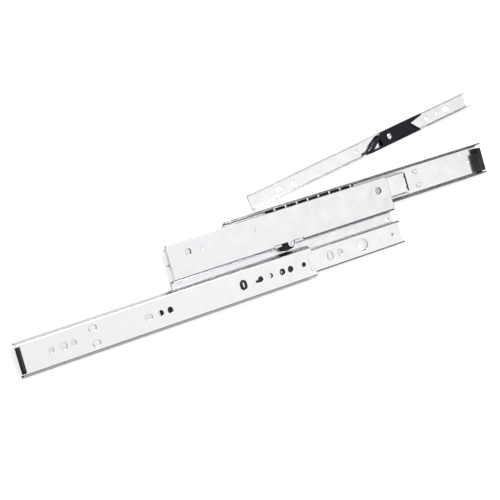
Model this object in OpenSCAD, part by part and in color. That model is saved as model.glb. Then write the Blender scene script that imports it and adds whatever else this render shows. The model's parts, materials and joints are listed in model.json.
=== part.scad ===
// Over-extension drawer slide: two three-member ball slides lie side by side and are joined
// by a Z-shaped bracket. A quick-release rail with its lever lies beside them.
// X runs along the rails, Y across them, Z up off the table. Millimetres.
// The origin is on the drawer rail's back face, on its centreline, level with the middle of
// the bracket. The upper slide is the one towards +Y: its drawer rail lies hollow side up.
// The lower slide is the one towards -Y: its cabinet rail lies hollow side down.

/* [Rails] */
// Length of the cabinet rail and of the drawer rail
rail_len = 450; // [360:1:560]
// Length of both middle rails
middle_len = 402.5; // [360:0.5:490]
// Width of the cabinet rail and of the drawer rail
outer_w = 45.7; // [38:0.1:56]
// Depth of the cabinet rail and of the drawer rail, web to lips
outer_h = 12.7; // [11.6:0.1:16]
// Sheet thickness of the cabinet rail and of the drawer rail
outer_t = 1.5; // [1.2:0.1:1.8]
// Sheet thickness of the middle rails
middle_t = 1.4; // [1.1:0.1:1.7]
// Sheet thickness of the inner rails and of the release rail
inner_t = 1.5; // [1.2:0.1:1.8]

/* [Balls and cages] */
// Diameter of the balls that run between an outer and a middle rail
outer_ball_d = 5.56; // [4.6:0.02:6.8]
// Diameter of the balls that run between a middle and an inner rail
inner_ball_d = 3.97; // [3.2:0.01:4.8]
// Space between a ball and each rail that it runs on
ball_play = 0.05; // [0.02:0.01:0.1]
// Length of each ball cage
cage_len = 150; // [140:1:180]
// Sheet thickness of the ball cages
cage_t = 0.5; // [0.4:0.05:0.6]
// Distance from one ball to the next along a cage
ball_pitch = 18.6; // [14:0.1:19]
// Balls along each side of a cage
balls_per_side = 8; // [4:1:8]

/* [Bracket] */
// Length of the Z bracket and of the two inner rails riveted to it
bracket_len = 368; // [300:1:450]
// Sheet thickness of the Z bracket
bracket_t = 2; // [1.5:0.1:2.6]
// Space between the sides of the two slides
slide_gap = 18.5; // [18:0.1:24]
// Space between the bracket and the lips of an outer rail
lip_gap = 0.6; // [0.4:0.1:1]
// Bend radius of the bracket, to the middle of the sheet
bracket_bend_r = 3; // [1.8:0.1:3.4]

/* [Layout] */
// Middle of the cabinet rail from the middle of the bracket
cabinet_at = -195; // [-210:1:-170]
// Middle of the lower middle rail from the middle of the bracket
lower_middle_at = -12.75; // [-14:0.25:0]
// Middle of the upper middle rail from the middle of the bracket
upper_middle_at = 22.25; // [10:0.25:24]
// Middle of the drawer rail from the middle of the bracket
drawer_at = 139.6; // [120:0.1:150]
// Middle of the lower slide's outer ball cage from the middle of the bracket
lower_outer_cage_at = -58.5; // [-70:0.5:-50]
// Middle of the lower slide's inner ball cage
lower_inner_cage_at = -18; // [-19:1:0]
// Middle of the upper slide's inner ball cage
upper_inner_cage_at = 11; // [0:1:19]
// Middle of the upper slide's outer ball cage
upper_outer_cage_at = 60; // [50:1:80]

/* [Release rail and lever] */
// Length of the release rail
release_len = 404.5; // [390:0.5:470]
// Angle between the release rail and the slides
release_angle = 7.2; // [6:0.1:9]
// Left end of the release rail from the middle of the bracket, along the slides
release_x = -34.5; // [-60:0.5:0]
// Space between the release rail's near corner and the drawer rail
release_gap = 2.7; // [1:0.1:6]
// Distance from the release rail's left end to the lever's pivot
lever_at = 252; // [230:1:262]
// Radius of the lever's pivot rivet
lever_pin_r = 2; // [1.6:0.1:2.4]
// Radial clearance of each pivot on its pin
pivot_clearance = 0.06; // [0.03:0.01:0.1]

/* [Fixings] */
// Radius of the fixing holes in the cabinet rail
cabinet_hole_r = 3.25; // [2.6:0.05:3.9]
// Radius of the fixing holes in the drawer rail
drawer_hole_r = 2.6; // [2.1:0.05:3.1]
// Radius of the fixing hole in the release rail
release_hole_r = 2.5; // [2:0.05:3]
// Radius of the rivets that hold the inner rails to the bracket
rivet_r = 2.2; // [1.8:0.1:2.6]
// Radius of the access holes in the bracket's plate
access_r = 4.9; // [4.2:0.1:5.6]
// Radius of the catch's pivot pin
catch_pin_r = 2.4; // [2:0.1:2.8]

/* [Hidden] */
$fn = 48;
eps = 0.01;
through = 4;                // how far a cutter runs past each face of a sheet
steel = "gainsboro";
bright_steel = "whitesmoke";
black = "#20222c";
outer_ball_r = outer_ball_d / 2;
inner_ball_r = inner_ball_d / 2;
slide_pitch = outer_w + slide_gap;      // between the centrelines of the two slides

// Depths are measured from the outer rail's back face towards its lips.
// The lip curls over the ball, so the ball's depth follows from the rail's depth.
outer_race_r = outer_ball_r + ball_play + outer_t / 2;
ball_y = outer_w / 2 - outer_t - ball_play - outer_ball_r;
wall_lean = 25;             // the outer rail's wall leans this much from upright
lip_end = 68;               // the lip curls this far round the ball
ball_z = outer_h - (outer_race_r + outer_t / 2) * sin(lip_end);
web_gap = 0.4;              // between the webs and the cages that run between them
outer_cage_z = outer_t + web_gap + cage_t / 2;
middle_z = outer_cage_z + cage_t / 2 + web_gap + middle_t / 2;
middle_bend_r = 2.4;
middle_race_r = outer_ball_r + ball_play + middle_t / 2;
middle_race_span = 32;
middle_wall_y = ball_y - middle_race_r * cos(middle_race_span);
middle_lip_z = ball_z + middle_race_r * sin(middle_race_span) + 0.9;
inner_ball_y = ball_y - outer_ball_r - 2 * ball_play - middle_t - inner_ball_r;
inner_cage_z = middle_z + middle_t / 2 + web_gap / 2 + cage_t / 2;
inner_race_r = inner_ball_r + ball_play + inner_t / 2;
inner_race_span = 50;
inner_wall_y = inner_ball_y - inner_race_r * cos(inner_race_span);
inner_bend_r = 1.2;
inner_back = outer_h + lip_gap;                 // the inner rail's back, against the bracket
inner_z = inner_back - inner_t / 2;
inner_lip_z = inner_cage_z + cage_t / 2 + web_gap;
inner_half_w = inner_wall_y + inner_t / 2;
inner_depth = inner_back - inner_lip_z;         // height of the release rail's walls
stack_h = inner_back + bracket_t;               // both slides and the bracket fit in this
strip_end_z = ball_z + outer_ball_r * 0.85;
inner_strip_end_z = ball_z + inner_ball_r * 1.45;

// ---- outlines -------------------------------------------------------------------------

function arc(centre, r, from, to, steps) = [
    for (i = [0 : steps]) let (a = from + (to - from) * i / steps)
        centre + r * [cos(a), sin(a)]
];
function unit(v) = v / norm(v);
function left_of(v) = [-v[1], v[0]];
// Unit direction of the path before and after point i
function before(p, i) = unit(p[max(i, 1)] - p[max(i, 1) - 1]);
function after(p, i) = unit(p[min(i, len(p) - 2) + 1] - p[min(i, len(p) - 2)]);
// One edge of a bent sheet: every point moves by d along the mitre of its two directions
function edge(p, d) = [
    for (i = [0 : len(p) - 1]) let (m = unit(before(p, i) + after(p, i)))
        p[i] + left_of(m) * d / (m * after(p, i))
];
function reversed(p) = [for (i = [len(p) - 1 : -1 : 0]) p[i]];
function mirrored(p) = [for (i = [len(p) - 1 : -1 : 1]) [-p[i][0], p[i][1]]];
// Closed outline of a sheet of thickness t bent along the path p
function sheet(p, t) = concat(edge(p, t / 2), reversed(edge(p, -t / 2)));
// The whole channel from the path of its right half, which starts on the centreline
function channel(half, t) = sheet(concat(mirrored(half), half), t);

// Outer rail: flat web, a bend, a leaning wall tangent to the ball race, and a curled lip
outer_bend_r = 1.6;
wall_top = [ball_y, ball_z] + outer_race_r * [cos(wall_lean), -sin(wall_lean)];
web_z = outer_t / 2;
corner_y = wall_top[0] - (wall_top[1] - web_z) * tan(wall_lean);
bend_reach = outer_bend_r * tan((90 - wall_lean) / 2);
outer_half = concat(
    [[0, web_z]],
    arc([corner_y - bend_reach, web_z + outer_bend_r], outer_bend_r, -90, -wall_lean, 5),
    arc([ball_y, ball_z], outer_race_r, -wall_lean, lip_end, 12)
);
middle_half = concat(
    [[0, middle_z]],
    arc([middle_wall_y - middle_bend_r, middle_z + middle_bend_r], middle_bend_r, -90, 0, 6),
    arc([ball_y, ball_z], middle_race_r, 180 + middle_race_span, 180 - middle_race_span, 8),
    [[middle_wall_y, middle_lip_z]]
);
inner_half = concat(
    [[0, inner_z]],
    arc([inner_wall_y - inner_bend_r, inner_z - inner_bend_r], inner_bend_r, 90, 0, 5),
    arc([inner_ball_y, ball_z], inner_race_r, 180 - inner_race_span, 180 + inner_race_span, 8),
    [[inner_wall_y, inner_lip_z]]
);
function cage_half(y, z, end_z) = concat(
    [[0, z]], arc([y - 1, z + 1], 1, -90, 0, 4), [[y, end_z]]
);

// ---- placing --------------------------------------------------------------------------

// A closed outline in Y and Z, drawn out along X from the origin
module along_x(length, outline) {
    rotate([90, 0, 90]) linear_extrude(length) polygon(outline);
}

// The lower slide lies back side up beside the upper one
module in_lower_slide() {
    translate([0, -slide_pitch, stack_h]) mirror([0, 0, 1]) children();
}

module on_release_rail() {
    left_end_y = outer_w / 2 + release_gap + inner_half_w * cos(release_angle);
    translate([release_x, left_end_y, 0]) rotate([0, 0, release_angle]) children();
}

module drill(x, y, r) {
    translate([x, y, -through]) cylinder(r = r, h = stack_h + 2 * through);
}

// A slot with round ends, end to end length and width, centred on x, y and turned by turn
module slot_cut(x, y, length, width, turn = 0) {
    translate([x, y, -through]) rotate([0, 0, turn]) {
        for (s = [-1, 1])
            translate([s * (length - width) / 2, 0, 0])
                cylinder(d = width, h = stack_h + 2 * through);
        translate([-(length - width) / 2, -width / 2, 0])
            cube([length - width, width, stack_h + 2 * through]);
    }
}

// A block of the given lowest and highest corners
module block(low, high) {
    translate(low) cube(high - low);
}

// A stadium, end to end length and width along X, from z = 0 up
module stadium(length, width, height) {
    for (s = [-1, 1])
        translate([s * (length - width) / 2, 0, 0]) cylinder(d = width, h = height);
    translate([-(length - width) / 2, -width / 2, 0]) cube([length - width, width, height]);
}

// ---- rails ----------------------------------------------------------------------------

tab_y = 9.9;
cabinet_tab = [11.5, 7.5];  // length and width over the slit round a tab
drawer_tab = [9, 6.4];
slit_w = 0.9;
tab_set = 1;                // the tab is pressed this far into the rail
end_notch = 7.5;            // how far the web is cut back at the open end of an outer rail
end_notch_w = 23;
stop_notch = 3.6;           // how far the web is cut back over the bumper
notch_r = 2.6;

// A notch in the web at an end of a rail; reach is its depth, with round inner corners.
// Only the web is cut, so the walls run on to the rail's end.
module web_notch(reach, width, web_top) {
    r = min(notch_r, reach - eps);
    translate([-through, -width / 2 + r, -through])
        cube([through + reach, width - 2 * r, through + web_top]);
    translate([-through, -width / 2, -through])
        cube([through + reach - r, width, through + web_top]);
    for (s = [-1, 1])
        translate([reach - r, s * (width / 2 - r), -through]) cylinder(r = r, h = through + web_top);
}

module tab_opening(size) {
    translate([0, 0, -through]) stadium(size[0], size[1], 2 * through);
}

// The tab in that opening hangs on the web where it has no slit: on its long side towards +Y,
// or on its short side towards the rail's bumper end
module set_tab(size, on_short_side) {
    inner = [size[0] - 2 * slit_w, size[1] - 2 * slit_w];
    translate([0, 0, tab_set]) {
        stadium(inner[0], inner[1], outer_t);
        if (on_short_side)
            translate([-(size[0] + slit_w) / 2, -inner[1] / 2, 0])
                cube([(size[0] + slit_w) / 2, inner[1], outer_t]);
        else
            translate([-inner[0] / 2, 0, 0]) cube([inner[0], (size[1] + slit_w) / 2, outer_t]);
    }
}

module at_tabs(x) {
    for (s = [-1, 1]) translate([x, s * tab_y, 0]) children();
}

// The bare outer rail: x = 0 is its bumper end, the other end is open
module outer_rail_blank() {
    web_top = outer_t + eps;
    difference() {
        along_x(rail_len, channel(outer_half, outer_t));
        web_notch(stop_notch, 2 * (corner_y - bend_reach), web_top);
        translate([rail_len, 0, 0]) mirror([1, 0, 0]) web_notch(end_notch, end_notch_w, web_top);
    }
}

// Places along the cabinet rail from its bumper end, and sizes
cabinet_fixing_x = [43, rail_len - 17];
cabinet_tab_x = 105;
module cabinet_rail() {
    color(steel) in_lower_slide() translate([cabinet_at - rail_len / 2, 0, 0]) {
        difference() {
            outer_rail_blank();
            for (x = cabinet_fixing_x) drill(x, 0, cabinet_hole_r);
            drill(60.5, 0, 5);
            drill(75, 0, 3.6);
            at_tabs(cabinet_tab_x) tab_opening(cabinet_tab);
            slot_cut(185, 0, 11.5, 7);
            drill(204, 0, 3.7);
            drill(218, 0, 4.1);
            slot_cut(rail_len - 116.8, 0, 13.6, 11.4, 90);
            // keyhole
            drill(rail_len - 88.9, 0, 3.9);
            slot_cut(rail_len - 93, -1.5, 8.5, 3.4);
            drill(rail_len - 72, 0, 3.3);
            for (x = [rail_len - 53, rail_len - 39.5]) drill(x, 0, 4.4);
        }
        at_tabs(cabinet_tab_x) set_tab(cabinet_tab, false);
    }
}

drawer_fixing_x = [24.5, rail_len - 21.5];
drawer_tab_x = 119.5;
module drawer_rail() {
    color(steel) translate([drawer_at + rail_len / 2, 0, 0]) mirror([1, 0, 0]) {
        difference() {
            outer_rail_blank();
            for (x = drawer_fixing_x) drill(rail_len - x, 0, drawer_hole_r);
            at_tabs(drawer_tab_x) tab_opening(drawer_tab);
            slot_cut(rail_len - 56, 0, 12, 5);
            slot_cut(rail_len - 184, 0, 12, 5, 90);
        }
        at_tabs(drawer_tab_x) set_tab(drawer_tab, true);
    }
}

// Buffer block that fills the closed end of an outer rail. Its far side stops short of the
// lip, so that it can be tilted in, and its inner corner there is left out.
bumper_len = 10.5;
bumper_slot = 1.2;
bumper_gap = 0.3;           // to the web's edge and to the lips
bumper_step = [3.6, 7.4];   // the corner left out, along and across the rail
module bumper() {
    web_half_w = corner_y - bend_reach;
    near_y = -(ball_y - bumper_gap);
    far_y = ball_y - 3.1;
    top_z = outer_h - 0.2;
    difference() {
        union() {
            block([1.8, near_y, outer_t], [bumper_len, far_y, top_z]);
            // key that fills the notch at the end of the web
            block([0.4, 3 - web_half_w, bumper_gap], [stop_notch - 0.4, web_half_w - 3, ball_z]);
        }
        block([bumper_len - bumper_step[0], far_y - bumper_step[1], outer_t - eps],
              [bumper_len + eps, far_y + eps, top_z + eps]);
        translate([bumper_len - 4.8, near_y + 2.4, top_z - 1.4])
            cube([bumper_slot, far_y - near_y - 4.8, 2 * bumper_slot]);
        for (y = [near_y + 5, far_y - 5])
            translate([3.9, y, top_z - 2]) cylinder(r = 1, h = outer_h);
    }
}

module cabinet_bumper() {
    color(black) in_lower_slide() translate([cabinet_at - rail_len / 2, 0, 0]) bumper();
}

module drawer_bumper() {
    color(black) translate([drawer_at + rail_len / 2, 0, 0]) mirror([1, 0, 0]) bumper();
}

// The bare middle rail: x = 0 is its stop's end, where only a tongue of the web runs on
middle_tongue = 6;
middle_flat = middle_wall_y - middle_bend_r;    // half width of the flat web
module middle_rail_blank() {
    difference() {
        along_x(middle_len, channel(middle_half, middle_t));
        for (y = [-outer_w, middle_flat])
            block([-through, y, 0], [middle_tongue, y + outer_w - (y < 0 ? middle_flat : 0), stack_h]);
    }
}

middle_notch = 4.6;
module lower_middle_rail() {
    web_top = middle_z + middle_t / 2 + eps;
    color(bright_steel) in_lower_slide() translate([lower_middle_at - middle_len / 2, 0, 0])
    difference() {
        middle_rail_blank();
        translate([middle_len, 0, 0]) mirror([1, 0, 0])
            web_notch(middle_notch, 2 * middle_flat, web_top);
        slot_cut(middle_len - 128.5, 0, 13, 9.6, 90);
        drill(middle_len - 111.5, 0, 4.6);
        slot_cut(middle_len - 72.3, 0, 18.5, 16);
        drill(middle_len - 18.5, 0, 1.9);
        slot_cut(60, 0, 22, 9);
        drill(110, 0, 5);
    }
}

module upper_middle_rail() {
    color(bright_steel) translate([upper_middle_at + middle_len / 2, 0, 0]) mirror([1, 0, 0])
    difference() {
        middle_rail_blank();
        for (x = [150, 250]) slot_cut(x, 0, 22, 9);
        drill(middle_len - 30, 0, 5.5);
    }
}

// Plastic stop on the tongue: a thin wall across its end, two teeth on the web's hollow side
// and a narrow foot on its other side, which passes between the outer rail's tabs
stop_wall = 1;
stop_proud = 1.2;
tooth_y = 7.7;
tooth = [3, 2.8];           // reach and width of a tooth
foot_reach = 15;
foot_half_w = 5.2;
module middle_stop() {
    web_low = middle_z - middle_t / 2;
    web_high = middle_z + middle_t / 2;
    block([-stop_wall, -middle_flat, web_low], [0, middle_flat, web_high + stop_proud]);
    for (s = [-1, 1]) translate([-eps, s * tooth_y, web_high]) linear_extrude(stop_proud)
        polygon([[0, -tooth[1] / 2], [tooth[0], 0], [0, tooth[1] / 2]]);
    block([-stop_wall, -foot_half_w, outer_t + 0.3], [foot_reach, foot_half_w, web_low]);
}

module lower_middle_stop() {
    color(black) in_lower_slide() translate([lower_middle_at - middle_len / 2, 0, 0])
        middle_stop();
}

module upper_middle_stop() {
    color(black) translate([upper_middle_at + middle_len / 2, 0, 0]) mirror([1, 0, 0])
        middle_stop();
}

// ---- ball cages -----------------------------------------------------------------------

ball_space = 0.15;          // between a ball and its hole in the cage
function ball_x(i) = (i - (balls_per_side - 1) / 2) * ball_pitch;

// Two rows of balls run in the strips at the sides of a cage; its web has tooling holes
module cage(y, z, end_z, ball_r) {
    difference() {
        translate([-cage_len / 2, 0, 0])
            along_x(cage_len, channel(cage_half(y, z, end_z), cage_t));
        for (i = [0 : balls_per_side - 1], s = [-1, 1])
            translate([ball_x(i), s * y, ball_z]) rotate([90, 0, 0])
                cylinder(r = ball_r + ball_space, h = 4 * cage_t, center = true);
        drill(35.5, 0, 1.6);
        drill(16.5, 0, 2.6);
        slot_cut(-26.5, 0, 7, 3, 90);
    }
}

module ball_rows(y, ball_r) {
    for (i = [0 : balls_per_side - 1], s = [-1, 1])
        translate([ball_x(i), s * y, ball_z]) sphere(r = ball_r);
}

module outer_cage() {
    cage(ball_y, outer_cage_z, strip_end_z, outer_ball_r);
}

module inner_cage() {
    cage(inner_ball_y, inner_cage_z, inner_strip_end_z, inner_ball_r);
}

module lower_outer_cage() {
    color(black) in_lower_slide() translate([lower_outer_cage_at, 0, 0]) outer_cage();
}

module lower_outer_balls() {
    color(bright_steel) in_lower_slide() translate([lower_outer_cage_at, 0, 0])
        ball_rows(ball_y, outer_ball_r);
}

module lower_inner_cage() {
    color(black) in_lower_slide() translate([lower_inner_cage_at, 0, 0]) inner_cage();
}

module lower_inner_balls() {
    color(bright_steel) in_lower_slide() translate([lower_inner_cage_at, 0, 0])
        ball_rows(inner_ball_y, inner_ball_r);
}

module upper_inner_cage() {
    color(black) translate([upper_inner_cage_at, 0, 0]) inner_cage();
}

module upper_inner_balls() {
    color(bright_steel) translate([upper_inner_cage_at, 0, 0])
        ball_rows(inner_ball_y, inner_ball_r);
}

module upper_outer_cage() {
    color(black) translate([upper_outer_cage_at, 0, 0]) outer_cage();
}

module upper_outer_balls() {
    color(bright_steel) translate([upper_outer_cage_at, 0, 0]) ball_rows(ball_y, outer_ball_r);
}

// ---- bracket, inner rails and rivets ---------------------------------------------------

left_access_x = -bracket_len / 2 + 30.7;
right_access_x = bracket_len / 2 - 19;
left_access_r = access_r - 0.4;
rivet_share = [-0.36, -0.12, 0.115, 0.415];     // places along the bracket, from its middle
slot_share = [0.204, 0.3315];
slot_size = [[34, 15], [23, 17]];
rivet_space = 0.02;
rivet_head_h = 1;
rivet_head_r = rivet_r + 1.6;

// Inner rail in the slide's own frame, its back against the bracket
module inner_rail_blank(length) {
    translate([-length / 2, 0, 0]) along_x(length, channel(inner_half, inner_t));
}

module riveted_inner_rail() {
    difference() {
        inner_rail_blank(bracket_len);
        for (u = rivet_share) drill(u * bracket_len, 0, rivet_r + rivet_space);
        drill(right_access_x, 0, access_r);
        drill(left_access_x, 0, left_access_r);
    }
}

// Large openings that lie over each other in the bracket's flange and the lower inner rail
module flange_slots() {
    for (i = [0, 1]) slot_cut(slot_share[i] * bracket_len, 0, slot_size[i][0], slot_size[i][1]);
}

// Rivets flush with the bracket's face, their formed heads inside the inner rail
module rivets() {
    head_z = inner_z - inner_t / 2 - rivet_head_h;
    for (u = rivet_share) translate([u * bracket_len, 0, head_z]) {
        cylinder(r = rivet_r, h = stack_h - head_z);
        cylinder(r = rivet_head_r, h = rivet_head_h);
    }
}

module lower_inner_rail() {
    color(bright_steel) in_lower_slide() difference() {
        riveted_inner_rail();
        flange_slots();
    }
}

module upper_inner_rail() {
    color(bright_steel) riveted_inner_rail();
}

module lower_rivets() {
    color(steel) in_lower_slide() rivets();
}

module upper_rivets() {
    color(steel) rivets();
}

wall_y = -slide_pitch / 2;
flange_z = bracket_t / 2;
plate_z = stack_h - bracket_t / 2;
plate_end_y = ball_y - 2.7;                 // the plate's free edge, short of the lip's edge
flange_end_y = -slide_pitch - inner_half_w + 0.6;
plate_corner_r = 5;
// The Z section, from the upper plate's free edge to the lower flange's
bracket_path = concat(
    [[plate_end_y, plate_z]],
    arc([wall_y + bracket_bend_r, plate_z - bracket_bend_r], bracket_bend_r, 90, 180, 7),
    arc([wall_y - bracket_bend_r, flange_z + bracket_bend_r], bracket_bend_r, 0, -90, 7),
    [[flange_end_y, flange_z]]
);

// Cutter that rounds a square corner whose point is at the origin and whose metal lies
// towards -X and -Y
module corner_cut(r) {
    translate([-r, -r, -through]) difference() {
        cube([r + through, r + through, stack_h + 2 * through]);
        translate([0, 0, -eps]) cylinder(r = r, h = stack_h + 2 * through + 2 * eps);
    }
}

// Window in the bend where the catch sits, with a round ear of the plate over the catch
window_left = -23.4;
window_right = 24.9;
window_back_y = wall_y + 3.7;
ear_r = catch_pin_r + 2.3;
module z_bracket() {
    window_front_y = wall_y - bracket_bend_r - 0.2;
    color(steel) difference() {
        union() {
            difference() {
                translate([-bracket_len / 2, 0, 0])
                    along_x(bracket_len, sheet(bracket_path, bracket_t));
                block([window_left, window_front_y, bracket_t],
                      [window_right, window_back_y, stack_h + through]);
            }
            translate([catch_x, catch_y, stack_h - bracket_t]) {
                cylinder(r = ear_r, h = bracket_t);
                translate([-ear_r, 0, 0]) cube([2 * ear_r, window_back_y - catch_y + 1, bracket_t]);
            }
        }
        for (s = [-1, 1], e = [0, 1])
            translate([s * bracket_len / 2, e == 0 ? plate_end_y : flange_end_y, 0])
                mirror([s < 0 ? 1 : 0, 0, 0]) mirror([0, e, 0]) corner_cut(plate_corner_r);
        for (y = [0, -slide_pitch]) {
            for (u = rivet_share) drill(u * bracket_len, y, rivet_r + rivet_space);
            drill(right_access_x, y, access_r);
            drill(left_access_x, y, left_access_r);
        }
        translate([0, -slide_pitch, 0]) flange_slots();
        drill(bracket_len / 2 - 9, wall_y - 10.4, 3.6);
        drill(catch_x, catch_y, catch_pin_r);
    }
}

// ---- sequence catch --------------------------------------------------------------------

catch_x = 2.8;
catch_y = wall_y + 0.9;
clip_t = 1;
spring_wire_r = 0.3;
spring_turns = 2;
coil_step = 2 * spring_wire_r + 0.04;
catch_low_z = bracket_t + clip_t + spring_turns * coil_step + 0.2;
catch_high_z = stack_h - bracket_t - 0.4;

// Clip that frames the window: a strip on the flange that holds the pin, and two bent wings
clip_gap = 0.6;             // between the clip and the window's edges
left_wing_len = 11.3;
right_wing_len = 14.3;
clip_front_y = catch_y - 2.8;
clip_top_z = stack_h - 2.1; // the middle of the sheet at the top of the wings
module catch_clip() {
    left_x = window_left + clip_gap;
    right_x = window_right - clip_gap;
    // a wing rises from the strip, slopes back and ends level in the window
    wing = [
        [clip_front_y, bracket_t + clip_t / 2], [clip_front_y, clip_top_z - 4],
        [catch_y, clip_top_z], [window_back_y - clip_gap, clip_top_z]
    ];
    color(steel) difference() {
        union() {
            block([left_x, catch_y - 5.6, bracket_t],
                  [right_x, catch_y + catch_pin_r + 1.2, bracket_t + clip_t]);
            for (w = [[left_x, left_wing_len], [right_x - right_wing_len, right_wing_len]])
                translate([w[0], 0, 0]) along_x(w[1], sheet(wing, clip_t));
        }
        drill(catch_x, catch_y, catch_pin_r);
    }
}

// Tubular pin that the catch turns on, from the clip to the ear
module catch_pin() {
    color(bright_steel) difference() {
        translate([catch_x, catch_y, bracket_t]) cylinder(r = catch_pin_r, h = stack_h - bracket_t);
        translate([catch_x, catch_y, stack_h - 7]) cylinder(r = 1.3, h = 8);
    }
}

// Coils of the catch's spring, under it and round the pin
module catch_spring() {
    coil_r = catch_pin_r + 0.9;
    color(bright_steel) for (i = [0 : spring_turns - 1])
        translate([catch_x, catch_y, bracket_t + clip_t + (i + 0.5) * coil_step])
            rotate_extrude() translate([coil_r, 0]) circle(r = spring_wire_r, $fn = 16);
}

// The catch: a hub on the pin, a tail to the left and a beak towards the cabinet rail.
// The outline is measured from the pin; the beak stops short of the rail's side.
catch_outline = [
    [-12.6, 2.7], [6.4, 1.4], [7, -0.5], [5.4, -4.2], [2.2, -6.8],
    [-7, -8.4], [-10.9, -7], [-11.7, -5.8], [-12, -2.4]
];
catch_hub_r = catch_pin_r + 3.6;
module sequence_catch() {
    height = catch_high_z - catch_low_z;
    color(black) translate([catch_x, catch_y, catch_low_z]) difference() {
        union() {
            cylinder(r = catch_hub_r, h = height);
            linear_extrude(height) polygon(catch_outline);
        }
        translate([0, 0, -eps]) cylinder(r = catch_pin_r + pivot_clearance, h = stack_h);
        // pocket in the tail's upper face
        translate([-10.8, -1.4, height - 1.5]) cube([4.6, 2.6, height]);
    }
}

// ---- release rail and lever -------------------------------------------------------------

relief_z = inner_depth - 2.3;
lever_left = 50;            // the lever's reach on each side of its pivot
lever_right = 66;
lever_space = 0.3;
rail_tab = 6;
module release_rail() {
    color(bright_steel) on_release_rail() difference() {
        union() {
            translate([release_len / 2, 0, inner_back]) mirror([0, 0, 1])
                inner_rail_blank(release_len);
            // the near wall runs on past the web at the right end
            block([release_len - 1, -inner_half_w, inner_depth * 0.45],
                  [release_len + rail_tab, -inner_half_w + inner_t, inner_depth]);
            // turned-in stop at the near wall's left end
            block([0, -inner_half_w - 0.6, inner_depth * 0.3],
                  [inner_t, -inner_wall_y + 2.6, inner_depth]);
        }
        block([lever_at - lever_left - 5, -outer_w, relief_z],
              [lever_at + lever_right + 5, outer_w, outer_h]);
        drill(lever_at - 60.5, 0, release_hole_r);
        drill(lever_at, 0, lever_pin_r + rivet_space);
        slot_cut(51.5, 0, 12, 6.4);
        slot_cut(75.5, 0, 7.5, 4.5, 45);
        slot_cut(lever_at + 75.6, 0, 7, 5.4);
        slot_cut(lever_at + 96.6, 0, 9, 4.4, 90);
        slot_cut(lever_at + 114.8, 0, 13, 7.4);
        slot_cut(release_len - 6, -inner_half_w, 3, 2.6);
    }
}

lever_t = 1.4;
lever_half_w = inner_half_w - 0.4;
lever_z = relief_z + lever_space;
// Outline round the pivot: a slim bent arm to the left, a broad body, two prongs to the right
lever_outline = concat(
    arc([1.7 - lever_left, 2.9 - lever_half_w], 1.7, 100, 260, 5),
    [[-38, -lever_half_w], [53, -lever_half_w]],
    arc([54, 1.3 - lever_half_w], 1.3, -90, 40, 4),
    [[42.5, 4.3]],
    arc([lever_right - 1.4, lever_half_w - 1.4], 1.2, -60, 90, 5),
    arc([-12, lever_half_w - 8], 8, 90, 140, 5),
    [[-33.4, 0.6], [-37.4, -3.2], [-44, 4.9 - lever_half_w]]
);

lever_hole = [[-16.8, 2.8], [-29.5, -4.9], [-34.5, 2.8 - lever_half_w], [-16.6, 2.3 - lever_half_w],
              [-15.2, -5]];
module release_lever() {
    rib_h = 0.5;
    hub_r = 6.2;
    top_z = lever_z + lever_t;
    color(black) on_release_rail() translate([lever_at, 0, 0]) difference() {
        union() {
            translate([0, 0, lever_z]) linear_extrude(lever_t) polygon(lever_outline);
            translate([0, 0, inner_t + 0.1]) cylinder(r = hub_r, h = top_z - inner_t - 0.1);
            for (y = [-6, -2.2, 1.6, 5.4])
                block([8.5, y, lever_z], [36 - 0.5 * y, y + 1.1, top_z + rib_h]);
            block([-11, lever_half_w - 1.3, lever_z], [lever_right - 8, lever_half_w, top_z + rib_h]);
        }
        translate([0, 0, -eps]) cylinder(r = lever_pin_r + pivot_clearance, h = outer_h);
        translate([0, 0, top_z - 0.9]) cylinder(r = 4.9, h = outer_h);
        translate([0, 0, lever_z - eps]) linear_extrude(outer_h) polygon(lever_hole);
    }
}

lever_rivet_head_r = 4.5;
module lever_rivet() {
    color(bright_steel) on_release_rail() translate([lever_at, 0, 0]) {
        translate([0, 0, 0.05]) cylinder(r = lever_pin_r, h = lever_z + lever_t);
        translate([0, 0, lever_z + lever_t - 0.8]) cylinder(r = lever_rivet_head_r, h = 1);
    }
}

cabinet_rail();
cabinet_bumper();
lower_outer_cage();
lower_outer_balls();
lower_middle_rail();
lower_middle_stop();
lower_inner_cage();
lower_inner_balls();
lower_inner_rail();
lower_rivets();
z_bracket();
catch_clip();
catch_pin();
catch_spring();
sequence_catch();
upper_rivets();
upper_inner_rail();
upper_inner_cage();
upper_inner_balls();
upper_middle_rail();
upper_middle_stop();
upper_outer_cage();
upper_outer_balls();
drawer_rail();
drawer_bumper();
release_rail();
lever_rivet();
release_lever();
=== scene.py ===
# %% [markdown]
# # An over-extension drawer slide
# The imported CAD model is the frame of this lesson: every rail, ball and rivet already has its
# exact place and size. What is left for Blender is the look. The parts get their plated steel,
# moulded plastic and rubber, the small turned, wound and moulded pieces are worked out again as
# fine surfaces, and a studio is set up round them. Units are metres and X runs along the rails.

import json
import math

import bpy
import numpy as np
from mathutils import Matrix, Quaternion, Vector


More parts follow.
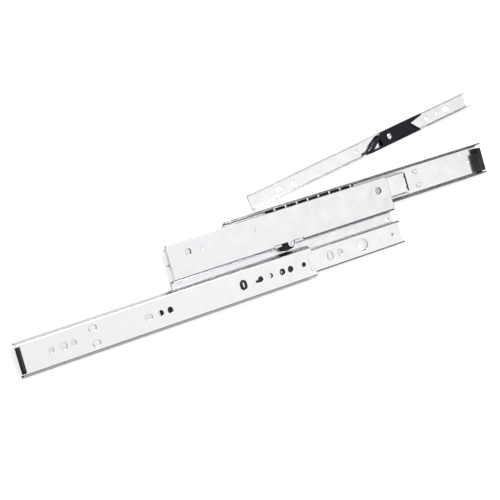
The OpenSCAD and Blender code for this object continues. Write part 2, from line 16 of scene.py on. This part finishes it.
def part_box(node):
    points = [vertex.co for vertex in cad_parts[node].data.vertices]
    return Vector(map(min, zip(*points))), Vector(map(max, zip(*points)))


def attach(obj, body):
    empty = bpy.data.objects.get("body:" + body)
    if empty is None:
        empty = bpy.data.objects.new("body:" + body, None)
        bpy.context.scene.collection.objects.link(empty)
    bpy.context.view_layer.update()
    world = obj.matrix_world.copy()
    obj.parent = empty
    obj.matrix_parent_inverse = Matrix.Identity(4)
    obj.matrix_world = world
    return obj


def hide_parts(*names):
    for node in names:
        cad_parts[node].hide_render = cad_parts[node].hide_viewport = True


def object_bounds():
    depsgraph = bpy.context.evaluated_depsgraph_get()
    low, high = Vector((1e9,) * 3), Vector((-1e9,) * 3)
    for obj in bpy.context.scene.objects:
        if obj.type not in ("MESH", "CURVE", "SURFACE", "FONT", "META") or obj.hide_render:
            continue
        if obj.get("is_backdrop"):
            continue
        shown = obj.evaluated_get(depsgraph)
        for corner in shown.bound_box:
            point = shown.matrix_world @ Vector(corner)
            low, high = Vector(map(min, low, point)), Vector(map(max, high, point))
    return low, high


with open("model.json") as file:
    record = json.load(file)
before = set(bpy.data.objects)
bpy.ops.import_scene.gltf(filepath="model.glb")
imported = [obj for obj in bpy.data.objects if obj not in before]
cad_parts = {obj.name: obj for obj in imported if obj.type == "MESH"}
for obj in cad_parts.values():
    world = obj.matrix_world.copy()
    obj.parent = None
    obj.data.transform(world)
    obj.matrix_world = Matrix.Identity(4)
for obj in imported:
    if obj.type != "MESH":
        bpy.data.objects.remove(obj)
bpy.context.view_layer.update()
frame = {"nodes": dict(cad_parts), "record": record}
nodes = frame["nodes"]
MM = 0.001
scene = bpy.context.scene

# %% [markdown]
# ## The camera
# A product picture of something long and flat is taken with a long lens from well above, and the
# camera is rolled so that the slide crosses the square picture from corner to corner. Its
# direction could be aimed at a target object, but three angles that a photographer would name
# say more: how far the lens looks down, where it heads, and how far the camera is rolled.

# %% Camera
CAMERA_AT = Vector((-1.2345, 0.1208, 1.9480))
LENS_MM = 123.07
NEAREST = 0.05
FARTHEST = 40
SENSOR_MM = 36.0
LOOK_DOWN = math.radians(58.58)
HEADING = math.radians(-6.98)
ROLL = math.radians(80.07)

level = math.cos(LOOK_DOWN)
forward = Vector((level * math.cos(HEADING), level * math.sin(HEADING), -math.sin(LOOK_DOWN)))
camera_data = bpy.data.cameras.new("studio_camera")
camera_data.lens = LENS_MM
camera_data.sensor_width = SENSOR_MM
camera_data.clip_start = NEAREST
camera_data.clip_end = FARTHEST
camera = bpy.data.objects.new("studio_camera", camera_data)
camera.location = CAMERA_AT
camera.rotation_mode = "QUATERNION"
camera.rotation_quaternion = forward.to_track_quat("-Z", "Y") @ Quaternion((0, 0, 1), ROLL)
scene.collection.objects.link(camera)
scene.camera = camera
print("camera looks along", [round(c, 3) for c in forward])

# %% [markdown]
# ## The floor
# The slide lies on white paper that is lit from below, so that it throws no shadow. A light
# table could be modelled, but glowing paper would also light the undersides of the rails and
# wash out their edges. So the paper glows for the camera only, and every other ray meets a
# plain pale sheet.

# %% Floor
FLOOR_HALF = 5.0
FLOOR_Z = -0.0002
PAPER = (0.55, 0.55, 0.56, 1)
PAPER_GLOW = 0.72
PAPER_ROUGH = 0.9
floor_mesh = bpy.data.meshes.new("studio_floor")
corners = np.array([(-1, -1, 0), (1, -1, 0), (1, 1, 0), (-1, 1, 0)]) * FLOOR_HALF
floor_mesh.from_pydata((corners + (0, 0, FLOOR_Z)).tolist(), [], [(0, 1, 2, 3)])
floor = bpy.data.objects.new("studio_floor", floor_mesh)
scene.collection.objects.link(floor)
floor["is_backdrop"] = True

floor_paper = bpy.data.materials.new("floor_paper")
floor_paper.use_nodes = True
tree = floor_paper.node_tree
paper = tree.nodes["Principled BSDF"]
paper.inputs["Base Color"].default_value = PAPER
paper.inputs["Roughness"].default_value = PAPER_ROUGH
glow = tree.nodes.new("ShaderNodeEmission")
glow.inputs["Strength"].default_value = PAPER_GLOW
ray = tree.nodes.new("ShaderNodeLightPath")
lit = tree.nodes.new("ShaderNodeAddShader")
choose = tree.nodes.new("ShaderNodeMixShader")
tree.links.new(paper.outputs[0], lit.inputs[0])
tree.links.new(glow.outputs[0], lit.inputs[1])
tree.links.new(ray.outputs["Is Camera Ray"], choose.inputs[0])
tree.links.new(paper.outputs[0], choose.inputs[1])
tree.links.new(lit.outputs[0], choose.inputs[2])
tree.links.new(choose.outputs[0], tree.nodes["Material Output"].inputs["Surface"])
floor_mesh.materials.append(floor_paper)
print("floor:", 2 * FLOOR_HALF, "m square")

# %% [markdown]
# ## The light
# Bright plated steel shows only what it mirrors. Flat faces have to mirror something white, and
# bends, lips and holes have to mirror something dark, or the slide would vanish on its paper.
# Black cards could stand round it. Here the room itself does that: it is white overhead and
# falls to near black towards the horizon, so each bend draws its own dark line. It is a touch
# dimmer straight overhead, which shades the flat webs gently from one end to the other.

# %% Room
DARK_BELOW = math.radians(40)
WHITE_ABOVE = math.radians(50)
DIM_ABOVE = math.radians(70)
ROOM_DARK = (0.010, 0.013, 0.019, 1)
ROOM_WHITE = (1.12, 1.12, 1.125, 1)
ROOM_TOP = (0.95, 0.955, 0.97, 1)
world = bpy.data.worlds.new("studio_room")
world.use_nodes = True
scene.world = world
tree = world.node_tree
where = tree.nodes.new("ShaderNodeTexCoord")
axes = tree.nodes.new("ShaderNodeSeparateXYZ")
tree.links.new(where.outputs["Generated"], axes.inputs[0])


def room_step(start, end, below, above):
    """A colour that changes smoothly between two elevations."""
    rise = tree.nodes.new("ShaderNodeMapRange")
    rise.interpolation_type = "SMOOTHSTEP"
    rise.inputs["From Min"].default_value = math.sin(start)
    rise.inputs["From Max"].default_value = math.sin(end)
    tree.links.new(axes.outputs["Z"], rise.inputs["Value"])
    walls = tree.nodes.new("ShaderNodeMix")
    walls.data_type = "RGBA"
    walls.inputs["A"].default_value = below
    if isinstance(above, bpy.types.NodeSocket):
        tree.links.new(above, walls.inputs["B"])
    else:
        walls.inputs["B"].default_value = above
    tree.links.new(rise.outputs["Result"], walls.inputs["Factor"])
    return walls.outputs["Result"]


ceiling = room_step(WHITE_ABOVE, DIM_ABOVE, ROOM_WHITE, ROOM_TOP)
tree.links.new(room_step(DARK_BELOW, WHITE_ABOVE, ROOM_DARK, ceiling),
               tree.nodes["Background"].inputs["Color"])
scene.view_settings.view_transform = "Standard"
print("room turns white at", round(math.degrees(WHITE_ABOVE)), "degrees")

# %% [markdown]
# A soft box on the far side adds the one directional light. It brightens the paper behind each
# rail and leaves the near side in the rail's shadow, so the far shoulders look white and the
# near ones grey. It also puts small highlights on balls, rivets and the lever's ribs.


# %% Soft box
def softbox(name, at, aim, width, depth, watts, tint):
    """An area light of the given size at one point, turned to face another."""
    data = bpy.data.lights.new(name, "AREA")
    data.shape = "RECTANGLE"
    data.size, data.size_y = width, depth
    data.energy = watts
    data.color = tint
    light = bpy.data.objects.new(name, data)
    light.location = at
    light.rotation_mode = "QUATERNION"
    light.rotation_quaternion = (Vector(aim) - Vector(at)).to_track_quat("-Z", "Y")
    scene.collection.objects.link(light)


KEY_AT = (0.3, 1.3, 1.3)
KEY_SIZE = (0.9, 0.6)
KEY_WATTS = 45
KEY_TINT = (1.0, 0.99, 0.98)
softbox("key_light", KEY_AT, (0, 0, 0), *KEY_SIZE, KEY_WATTS, KEY_TINT)

# %% [markdown]
# ## Shader tools
# Several finishes share the same effects: the rolled grain of sheet metal, edges tinted for wear
# and painted light, and the fine skin of a moulding. Each effect is a node group with named inputs
# and outputs, built once. The groups put out only colours, masks, values and normals, and each
# material keeps its own Principled shader.


# %% Node helpers
def new_group(name, inputs, outputs):
    """A shader node group with the given sockets. Inputs are (name, type, value)."""
    group = bpy.data.node_groups.new(name, "ShaderNodeTree")
    for label, kind, value in inputs:
        socket = group.interface.new_socket(label, in_out="INPUT", socket_type="NodeSocket" + kind)
        socket.default_value = value
    for label, kind in outputs:
        group.interface.new_socket(label, in_out="OUTPUT", socket_type="NodeSocket" + kind)
    return group, group.nodes.new("NodeGroupInput"), group.nodes.new("NodeGroupOutput")


def add(tree, kind, settings=None, **sockets):
    """A node of a tree. Settings are its properties; sockets are values or outputs to link."""
    node = tree.nodes.new("ShaderNode" + kind)
    for key, value in (settings or {}).items():
        setattr(node, key, value)
    for key, value in sockets.items():
        socket = node.inputs[int(key[1:]) if key[0] == "_" else key.replace("_", " ")]
        if isinstance(value, bpy.types.NodeSocket):
            tree.links.new(value, socket)
        else:
            socket.default_value = value
    return node


def blend_colour(tree, factor, low, high):
    """Mix of two colours by a factor."""
    node = add(tree, "Mix", {"data_type": "RGBA"}, Factor=factor)
    for name, value in (("A", low), ("B", high)):
        if isinstance(value, bpy.types.NodeSocket):
            tree.links.new(value, node.inputs[name])
        else:
            node.inputs[name].default_value = value
    return node.outputs["Result"]


def ramp(tree, value, low, high, to_low=0.0, to_high=1.0):
    """The value carried from one range to another and held at its ends."""
    sockets = {"Value": value, "_1": low, "_2": high, "_3": to_low, "_4": to_high}
    return add(tree, "MapRange", None, **sockets).outputs["Result"]


print("node helpers ready")

# %% [markdown]
# ### Rolled grain
# Cold-rolled strip keeps faint streaks along the direction in which it was rolled, and the zinc
# on it is a little cloudy. A picture of metal could be mapped on, but noise on object
# coordinates, drawn out along X, gives the same streaks on every part at the right scale.

# %% Rolled grain group
grain, given, result = new_group(
    "rolled_grain",
    [("Bright", "Color", (0.9, 0.9, 0.9, 1)), ("Cloud", "Color", (0.8, 0.8, 0.8, 1)),
     ("Streaks", "Float", 900.0), ("Smoothest", "Float", 0.2), ("Dullest", "Float", 0.3)],
    [("Color", "Color"), ("Roughness", "Float"), ("Height", "Float")],
)
STREAK_STRETCH = (0.02, 1.0, 1.0)
STREAK_SHARE = 0.45
CLOUD_SCALE = 55.0
place = add(grain, "TexCoord").outputs["Object"]
drawn_out = add(grain, "Mapping", None, Vector=place, Scale=STREAK_STRETCH).outputs[0]
streaks = add(grain, "TexNoise", None, Vector=drawn_out, Scale=given.outputs["Streaks"],
              Detail=3.0, Roughness=0.6).outputs["Fac"]
clouds = add(grain, "TexNoise", None, Vector=place, Scale=CLOUD_SCALE, Detail=4.0,
             Roughness=0.55).outputs["Fac"]
mixed = add(grain, "Math", {"operation": "MULTIPLY_ADD"}, _0=streaks, _1=STREAK_SHARE, _2=clouds)
both = mixed.outputs[0]
cloudy = ramp(grain, both, 0.55, 0.95)
colour = blend_colour(grain, cloudy, given.outputs["Bright"], given.outputs["Cloud"])
rough = add(grain, "MapRange", None, Value=cloudy, _3=given.outputs["Smoothest"],
            _4=given.outputs["Dullest"]).outputs["Result"]
grain.links.new(colour, result.inputs["Color"])
grain.links.new(rough, result.inputs["Roughness"])
grain.links.new(streaks, result.inputs["Height"])
print("rolled_grain:", len(grain.nodes), "nodes")

# %% [markdown]
# ### Edge wear and painted light
# Sheared and moulded edges are slightly round and catch the light, and handling rubs them. The
# Bevel node gives the normal that a small round edge would have. Where that normal turns away
# from the true one there is an edge, so the same node also gives a mask. The finishes tint their
# edges by it: painted highlight with wear on the black parts, painted shade with the bare cut
# steel on the rails, bracket and rivets.

# %% Edge wear and painted light group
edges, given, result = new_group(
    "edge_wear_and_painted_light",
    [("Radius", "Float", 0.0003), ("Reach", "Float", 0.25)],
    [("Mask", "Float"), ("Normal", "Vector")],
)
BEVEL_SAMPLES = 8
EDGE_STARTS = 0.02
rounded = add(edges, "Bevel", {"samples": BEVEL_SAMPLES}, Radius=given.outputs["Radius"]).outputs["Normal"]
true_normal = add(edges, "NewGeometry").outputs["Normal"]
agree = add(edges, "VectorMath", {"operation": "DOT_PRODUCT"}, _0=rounded, _1=true_normal)
turned = add(edges, "Math", {"operation": "SUBTRACT"}, _0=1.0, _1=agree.outputs["Value"])
mask = add(edges, "MapRange", None, Value=turned.outputs[0], _1=EDGE_STARTS,
           _2=given.outputs["Reach"])
edges.links.new(mask.outputs["Result"], result.inputs["Mask"])
edges.links.new(rounded, result.inputs["Normal"])
print("edge_wear_and_painted_light:", len(edges.nodes), "nodes")

# %% [markdown]
# ### Moulded skin
# A steel mould is spark-eroded, so plastic comes out with a fine pebbled skin, with flow marks
# where it is thicker. Two noises of different size give both, as a height and as a small change
# of colour and gloss.

# %% Moulded skin group
skin, given, result = new_group(
    "moulded_skin",
    [("Base", "Color", (0.02, 0.02, 0.02, 1)), ("Bloom", "Color", (0.05, 0.05, 0.06, 1)),
     ("Pebbles", "Float", 2600.0), ("Glossiest", "Float", 0.3), ("Dullest", "Float", 0.5)],
    [("Color", "Color"), ("Roughness", "Float"), ("Height", "Float")],
)
FLOW_SCALE = 140.0
place = add(skin, "TexCoord").outputs["Object"]
pebbles = add(skin, "TexVoronoi", None, Vector=place, Scale=given.outputs["Pebbles"])
flow = add(skin, "TexNoise", None, Vector=place, Scale=FLOW_SCALE, Detail=3.0).outputs["Fac"]
flowed = ramp(skin, flow, 0.35, 0.7)
colour = blend_colour(skin, flowed, given.outputs["Base"], given.outputs["Bloom"])
rough = add(skin, "MapRange", None, Value=flowed, _3=given.outputs["Glossiest"],
            _4=given.outputs["Dullest"]).outputs["Result"]
skin.links.new(colour, result.inputs["Color"])
skin.links.new(rough, result.inputs["Roughness"])
skin.links.new(pebbles.outputs["Distance"], result.inputs["Height"])
print("moulded_skin:", len(skin.nodes), "nodes")


# %% [markdown]
# ## Finishes
# Two builders make all nine finishes of the record: plated or polished steel, and moulded or
# coated black. What differs between the finishes are the numbers that each one passes.


# %% Steel and black builders
METAL_EDGE_REACH = 0.5
BLACK_EDGE_REACH = 0.4
BLACK_EDGE_MM = 0.25
SKIN_BUMP_MM = 0.02


def use_group(tree, group, **values):
    """A node group placed in a material, with its inputs set."""
    node = tree.nodes.new("ShaderNodeGroup")
    node.node_tree = group
    for key, value in values.items():
        node.inputs[key].default_value = value
    return node


def finish(name, surface, edge, bump_mm, wear_and_light_colour, metallic=0.0, coat=0.0, specular=0.5):
    """A Principled material from a surface group and the edge group for wear and painted light.

    The surface group gives colour, roughness and height; along the edges the colour goes towards
    the edge colour, wear with painted highlight on the black finishes and painted shade on the
    metal ones, and the bump stands on the rounded normal.
    """
    material = bpy.data.materials.new(name)
    material.use_nodes = True
    tree = material.node_tree
    shader = tree.nodes["Principled BSDF"]
    shader.inputs["Metallic"].default_value = metallic
    shader.inputs["Coat Weight"].default_value = coat
    shader.inputs["Specular IOR Level"].default_value = specular
    group, values = surface
    face = use_group(tree, group, **values)
    wear_and_light_edges = use_group(tree, edges, **edge)
    colour = blend_colour(tree, wear_and_light_edges.outputs["Mask"], face.outputs["Color"], wear_and_light_colour)
    bump = add(tree, "Bump", None, Strength=0.5, Distance=bump_mm * MM,
               Height=face.outputs["Height"], Normal=wear_and_light_edges.outputs["Normal"])
    tree.links.new(colour, shader.inputs["Base Color"])
    tree.links.new(face.outputs["Roughness"], shader.inputs["Roughness"])
    tree.links.new(bump.outputs["Normal"], shader.inputs["Normal"])
    return material


def steel(name, bright, cloud, smoothest, dullest, cut_steel_and_shade_colour=(0.2, 0.21, 0.24), radius_mm=0.6,
          streaks=900.0, bump_mm=0.002):
    """Metal with rolled grain. Its cut edges are dull and take the darker colour: bare steel along with
    painted shade.
    """
    values = {"Bright": (*bright, 1), "Cloud": (*cloud, 1), "Streaks": streaks,
              "Smoothest": smoothest, "Dullest": dullest}
    edge = {"Radius": radius_mm * MM, "Reach": METAL_EDGE_REACH}
    return finish(name, (grain, values), edge, bump_mm, (*cut_steel_and_shade_colour, 1), metallic=1.0)


def black(name, base, bloom, glossiest, dullest, wear_and_light_colour, pebbles=2600.0, specular=0.3, coat=0.0):
    """Plastic, rubber or a black coat, with a moulded skin. Its edges take the lighter colour: handling
    wear along with a painted highlight.
    """
    values = {"Base": (*base, 1), "Bloom": (*bloom, 1), "Pebbles": pebbles,
              "Glossiest": glossiest, "Dullest": dullest}
    edge = {"Radius": BLACK_EDGE_MM * MM, "Reach": BLACK_EDGE_REACH}
    return finish(name, (skin, values), edge, SKIN_BUMP_MM, (*wear_and_light_colour, 1), coat=coat,
                  specular=specular)


print("builders ready")

# %% [markdown]
# Zinc on the rails is bright and neutral, on the bracket slightly duller. Balls, rivets and the
# spring are the same metal in other states: ground and polished, turned, and drawn. The black
# parts range from the greased cage over satin plastic to dull rubber.

# %% The nine finishes
# Each finish has an edge colour, the one after its two roughness values or the default: darker on the
# rails, bracket and rivets, painted shade along with bare cut steel, and lighter on the black parts,
# painted highlight along with wear.
finishes = {
    "rail_zinc": steel("rail_zinc", (0.9, 0.9, 0.905), (0.875, 0.875, 0.885), 0.18, 0.25),
    "bracket_zinc": steel("bracket_zinc", (0.885, 0.885, 0.895), (0.855, 0.855, 0.87), 0.2, 0.28),
    "ball_steel": steel("ball_steel", (0.95, 0.95, 0.96), (0.9, 0.9, 0.92), 0.04, 0.08,
                        (0.95, 0.95, 0.96), 0.05),
    "rivet_steel": steel("rivet_steel", (0.9, 0.9, 0.92), (0.8, 0.8, 0.83), 0.15, 0.25,
                         (0.7, 0.7, 0.73), 0.15),
    "spring_steel": steel("spring_steel", (0.7, 0.7, 0.73), (0.55, 0.55, 0.58), 0.2, 0.35,
                          (0.7, 0.7, 0.73), 0.05),
    "cage_black": black("cage_black", (0.006, 0.006, 0.008), (0.014, 0.015, 0.02), 0.22, 0.4,
                        (0.08, 0.08, 0.09), coat=0.2),
    "lever_plastic": black("lever_plastic", (0.003, 0.0034, 0.008), (0.006, 0.007, 0.014), 0.3,
                           0.45, (0.05, 0.053, 0.08), specular=0.25),
    "catch_plastic": black("catch_plastic", (0.003, 0.003, 0.006), (0.006, 0.006, 0.01), 0.32,
                           0.48, (0.03, 0.03, 0.04)),
    "bumper_rubber": black("bumper_rubber", (0.022, 0.02, 0.021), (0.042, 0.038, 0.04), 0.6,
                           0.85, (0.08, 0.07, 0.075), pebbles=1500.0),
}
slots = {part["node"]: part["material_slot"] for part in frame["record"]["subparts"]}
for name, slot in slots.items():
    mesh = nodes[name].data
    mesh.materials.clear()
    mesh.materials.append(finishes[slot])
print(len(finishes), "finishes on", len(slots), "CAD nodes")

# %% [markdown]
# ## Surfaces from numbers
# Turned, wound and rounded pieces are all grids: a point of the surface is a function of two
# parameters. One helper turns such a grid of points into a mesh. It closes the grid where it
# runs round, caps its ends, and can take many copies at once.


# %% Grid helper
def grid_faces(rows, columns):
    """Quads of a grid that closes on itself across its columns."""
    i = np.arange(rows - 1)[:, None] * columns
    j = np.arange(columns)[None, :]
    k = (j + 1) % columns
    return np.stack([i + j, i + k, i + columns + k, i + columns + j], axis=-1).reshape(-1, 4)


def make_piece(name, grids, body, replaced, slot):
    """A piece from rings of points: grids is an array (copies, rows, columns, 3) in metres.

    Every ring is closed, the first and last ring of each copy get a cap, and the faces look
    outwards when the rings run anticlockwise seen from the last one.
    """
    copies, rows, columns, _ = grids.shape
    per_copy = rows * columns
    sides = (grid_faces(rows, columns) + per_copy * np.arange(copies)[:, None, None]).reshape(-1, 4)
    ring = np.arange(columns)
    caps = [list(n * per_copy + ring[::-1]) for n in range(copies)]
    caps += [list(n * per_copy + (rows - 1) * columns + ring) for n in range(copies)]
    mesh = bpy.data.meshes.new(name)
    faces = sides.tolist() + [[int(v) for v in cap] for cap in caps]
    mesh.from_pydata(grids.reshape(-1, 3).tolist(), [], faces)
    mesh.polygons.foreach_set("use_smooth", np.arange(len(faces)) < len(sides))
    mesh.update()
    mesh.materials.append(finishes[slot])
    piece = bpy.data.objects.new(name, mesh)
    scene.collection.objects.link(piece)
    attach(piece, body)
    if replaced:
        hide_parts(*replaced)
    print(name, "has", len(faces), "faces")
    return piece


# %% [markdown]
# ### Balls
# A ball is ground and lapped until nothing but its reflections show, so facets would give it
# away. Each row is one grid of spheres: the ring radius is r sin(u) and the height r cos(u).
# The places are read from the CAD balls' own box, two rows of eight.


# %% Ball rows
BALLS_ALONG = 8


def ball_rows(node, body):
    """Spheres in two rows that fill the box of a CAD ball node."""
    low, high = (np.array(corner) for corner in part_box(node))
    radius = (high[2] - low[2]) / 2
    along = np.linspace(low[0] + radius, high[0] - radius, BALLS_ALONG)
    across = np.array([low[1] + radius, high[1] - radius])
    x, y = (values.ravel() for values in np.meshgrid(along, across))
    centres = np.stack([x, y, np.full_like(x, low[2] + radius)], axis=-1)
    u = np.linspace(np.pi - 0.05, 0.05, 20)[:, None]
    v = np.linspace(0, 2 * np.pi, 32, endpoint=False)[None, :]
    unit = np.stack(np.broadcast_arrays(np.sin(u) * np.cos(v), np.sin(u) * np.sin(v), np.cos(u)), -1)
    grids = centres[:, None, None, :] + radius * unit[None]
    return make_piece(node + "_polished", grids, body, [node], "ball_steel")


body_of = {
    name: body for body, names in frame["record"]["behaviour"]["bodies"].items() for name in names
}
for name in [n for n in slots if n.endswith("_balls")]:
    ball_rows(name, body_of[name])

# %% [markdown]
# ### Turned pins
# The lever's rivet and the catch's pin are turned and then rolled over, which leaves a rounded
# rim round a dimple. A lathe does this in life, and a profile carried round an axis does it
# here: each profile point is a radius and a height, and the rings are circles of those radii.


# %% Turned pieces
def turned(name, centre, profile, body, replaced):
    """A solid of revolution: ring i is a circle of radius profile[i, 0] at height profile[i, 1]."""
    profile = np.asarray(profile) * MM
    angle = np.linspace(0, 2 * np.pi, 64, endpoint=False)
    radius, height = profile[:, 0, None], profile[:, 1, None]
    x = centre[0] + radius * np.cos(angle)
    y = centre[1] + radius * np.sin(angle)
    z = centre[2] + height + 0 * angle
    return make_piece(name, np.stack([x, y, z], axis=-1)[None], body, replaced, "rivet_steel")


def rolled_rim(outer, inner, top, radius, steps=7):
    """Profile points over a rolled rim: up its outside, over the top and down its inside."""
    turn = np.linspace(0, np.pi, steps)
    middle = (outer + inner) / 2
    half = (outer - inner) / 2
    return [(middle + half * math.cos(a), top - radius + radius * math.sin(a)) for a in turn]


low, high = (np.array(corner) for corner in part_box("lever_rivet"))
lever_pivot = (low + high) / 2
rivet_top = (high[2] - low[2]) / MM
head_r = (high[0] - low[0]) / 2 / MM
shank_r = 2.0
profile = [(0.05, 0), (shank_r - 0.2, 0), (shank_r, 0.2), (shank_r, rivet_top - 1.0)]
profile += [(head_r - 0.3, rivet_top - 1.0), (head_r, rivet_top - 0.8)]
profile += [(head_r - 0.15, rivet_top - 0.35), (head_r - 0.8, rivet_top - 0.12)]
profile += rolled_rim(2.7, 1.5, rivet_top, 0.25) + [(1.2, rivet_top - 0.7), (0.05, rivet_top - 0.8)]
turned("lever_rivet_turned", (*lever_pivot[:2], low[2]), profile, "release_rail", ["lever_rivet"])

low, high = (np.array(corner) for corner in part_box("catch_pin"))
catch_pivot = (low + high) / 2
pin_top = (high[2] - low[2]) / MM
pin_r = (high[0] - low[0]) / 2 / MM
profile = [(0.05, 0), (pin_r - 0.2, 0), (pin_r, 0.2), (pin_r, pin_top - 0.3)]
profile += rolled_rim(pin_r, 1.4, pin_top, 0.3) + [(1.3, pin_top - 0.9), (1.3, pin_top - 6.5)]
profile += [(0.05, pin_top - 6.9)]
turned("catch_pin_turned", (*catch_pivot[:2], low[2]), profile, "bracket", ["catch_pin"])

# %% [markdown]
# ### The catch's spring
# A torsion spring is a helix whose two ends run off as straight legs. CAD has plain rings in
# its place. The wire is a tube: its centre line is a function of one parameter, and a small
# circle is carried along it, standing square to the line. The circle's two directions are the
# outward radius and the axis, which is exact enough for a helix this flat.

# %% Wound spring
WIRE_R = 0.28 * MM
COIL_TURNS = 1.9
LEG = 3.6 * MM
low, high = (np.array(corner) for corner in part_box("catch_spring"))
coil_r = (high[0] - low[0]) / 2 - WIRE_R
START_TURN = 0.6
coil_steps = 150
leg_points = 6
wire_sides = 12
turn = np.linspace(0, 2 * np.pi * COIL_TURNS, coil_steps) + START_TURN
rise_z = np.linspace(low[2] + WIRE_R, high[2] - WIRE_R, turn.size)
circle = catch_pivot[:2] + coil_r * np.stack([np.cos(turn), np.sin(turn)], -1)
centre = np.column_stack([circle, rise_z])
leg_steps = np.linspace(1, 0, leg_points, endpoint=False)[:, None] * LEG
first_way = np.array([np.sin(turn[0]), -np.cos(turn[0]), 0])
last_way = np.array([-np.sin(turn[-1]), np.cos(turn[-1]), 0])
first_leg = centre[0] + leg_steps * first_way
last_leg = centre[-1] + leg_steps[::-1] * last_way
line = np.vstack([first_leg, centre, last_leg])
along = np.gradient(line, axis=0)
along /= np.linalg.norm(along, axis=1, keepdims=True)
up = np.array([0, 0, 1.0])
out = np.cross(along, up)
out /= np.linalg.norm(out, axis=1, keepdims=True)
side = np.cross(out, along)
around = np.linspace(0, 2 * np.pi, wire_sides, endpoint=False)
tube = line[:, None] + WIRE_R * (
    np.cos(around)[None, :, None] * out[:, None] - np.sin(around)[None, :, None] * side[:, None]
)
make_piece("catch_spring_wound", tube[None], "bracket", ["catch_spring"], "spring_steel")

# %% [markdown]
# ### The lever's ribs
# The lever is pressed with a thumb, so its broad body has raised ribs, and beads stiffen its
# edges, its arm and its slanting right end. They could be boxes with a Bevel modifier. A rounded
# bar is simpler as one surface: a superellipse section, |y|^n + |z|^n = 1, is carried along a
# straight line, and near both ends it shrinks as a quarter circle does, so each rib ends in a
# soft nose.


# %% Rounded bars
LEVER_TURN = math.radians(7.2)
lever_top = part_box("release_lever")[1][2]


def rounded_bar(start, end, width, height, power=2.6, rows=28, columns=20):
    """Rings of a soft bar between two points of the lever's own plane, in mm from its pivot."""
    start, end = np.array(start, float), np.array(end, float)
    reach = end - start
    length = np.hypot(*reach)
    along = reach / length
    across = np.array([-along[1], along[0]])
    t = (1 - np.cos(np.linspace(0.04, np.pi - 0.04, rows))) / 2
    nose = width / length
    shrink = np.sqrt(np.clip(1 - (1 - np.clip(np.minimum(t, 1 - t) / nose, 0, 1)) ** 2, 0.004, 1))
    a = np.linspace(0, 2 * np.pi, columns, endpoint=False)
    y = np.sign(np.cos(a)) * np.abs(np.cos(a)) ** (2 / power) * width / 2
    z = np.sign(np.sin(a)) * np.abs(np.sin(a)) ** (2 / power) * height / 2
    plane = start + t[:, None, None] * reach + (shrink[:, None] * y)[..., None] * across
    turn = np.array([[math.cos(LEVER_TURN), math.sin(LEVER_TURN)],
                     [-math.sin(LEVER_TURN), math.cos(LEVER_TURN)]])
    place = lever_pivot[:2] + plane @ turn * MM
    level = lever_top + (shrink[:, None] * z) * MM
    return np.concatenate([place, level[..., None]], axis=-1)


half = 10.8
thumb_ribs = [((9.0, y), (35.5 - 0.5 * y, y), 1.5, 1.5) for y in (-6.3, -2.5, 1.3, 5.1)]
far_bead = ((-9, half - 1.0), (60, half - 1.0), 1.6, 1.5)
near_bead = ((-33, 1.4 - half), (50, 1.4 - half), 1.5, 1.4)
arm_bead = ((-42, -6.6), (-20, 5.2), 1.3, 1.4)
slant_bead = ((39.6, 4.0), (50.0, 2.8 - half), 1.6, 1.6)
ribs = thumb_ribs + [far_bead, near_bead, arm_bead, slant_bead]
bars = np.stack([rounded_bar(*rib) for rib in ribs])
make_piece("release_lever_ribs", bars, "release_lever", [], "lever_plastic")

# %% Finish
low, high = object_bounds()
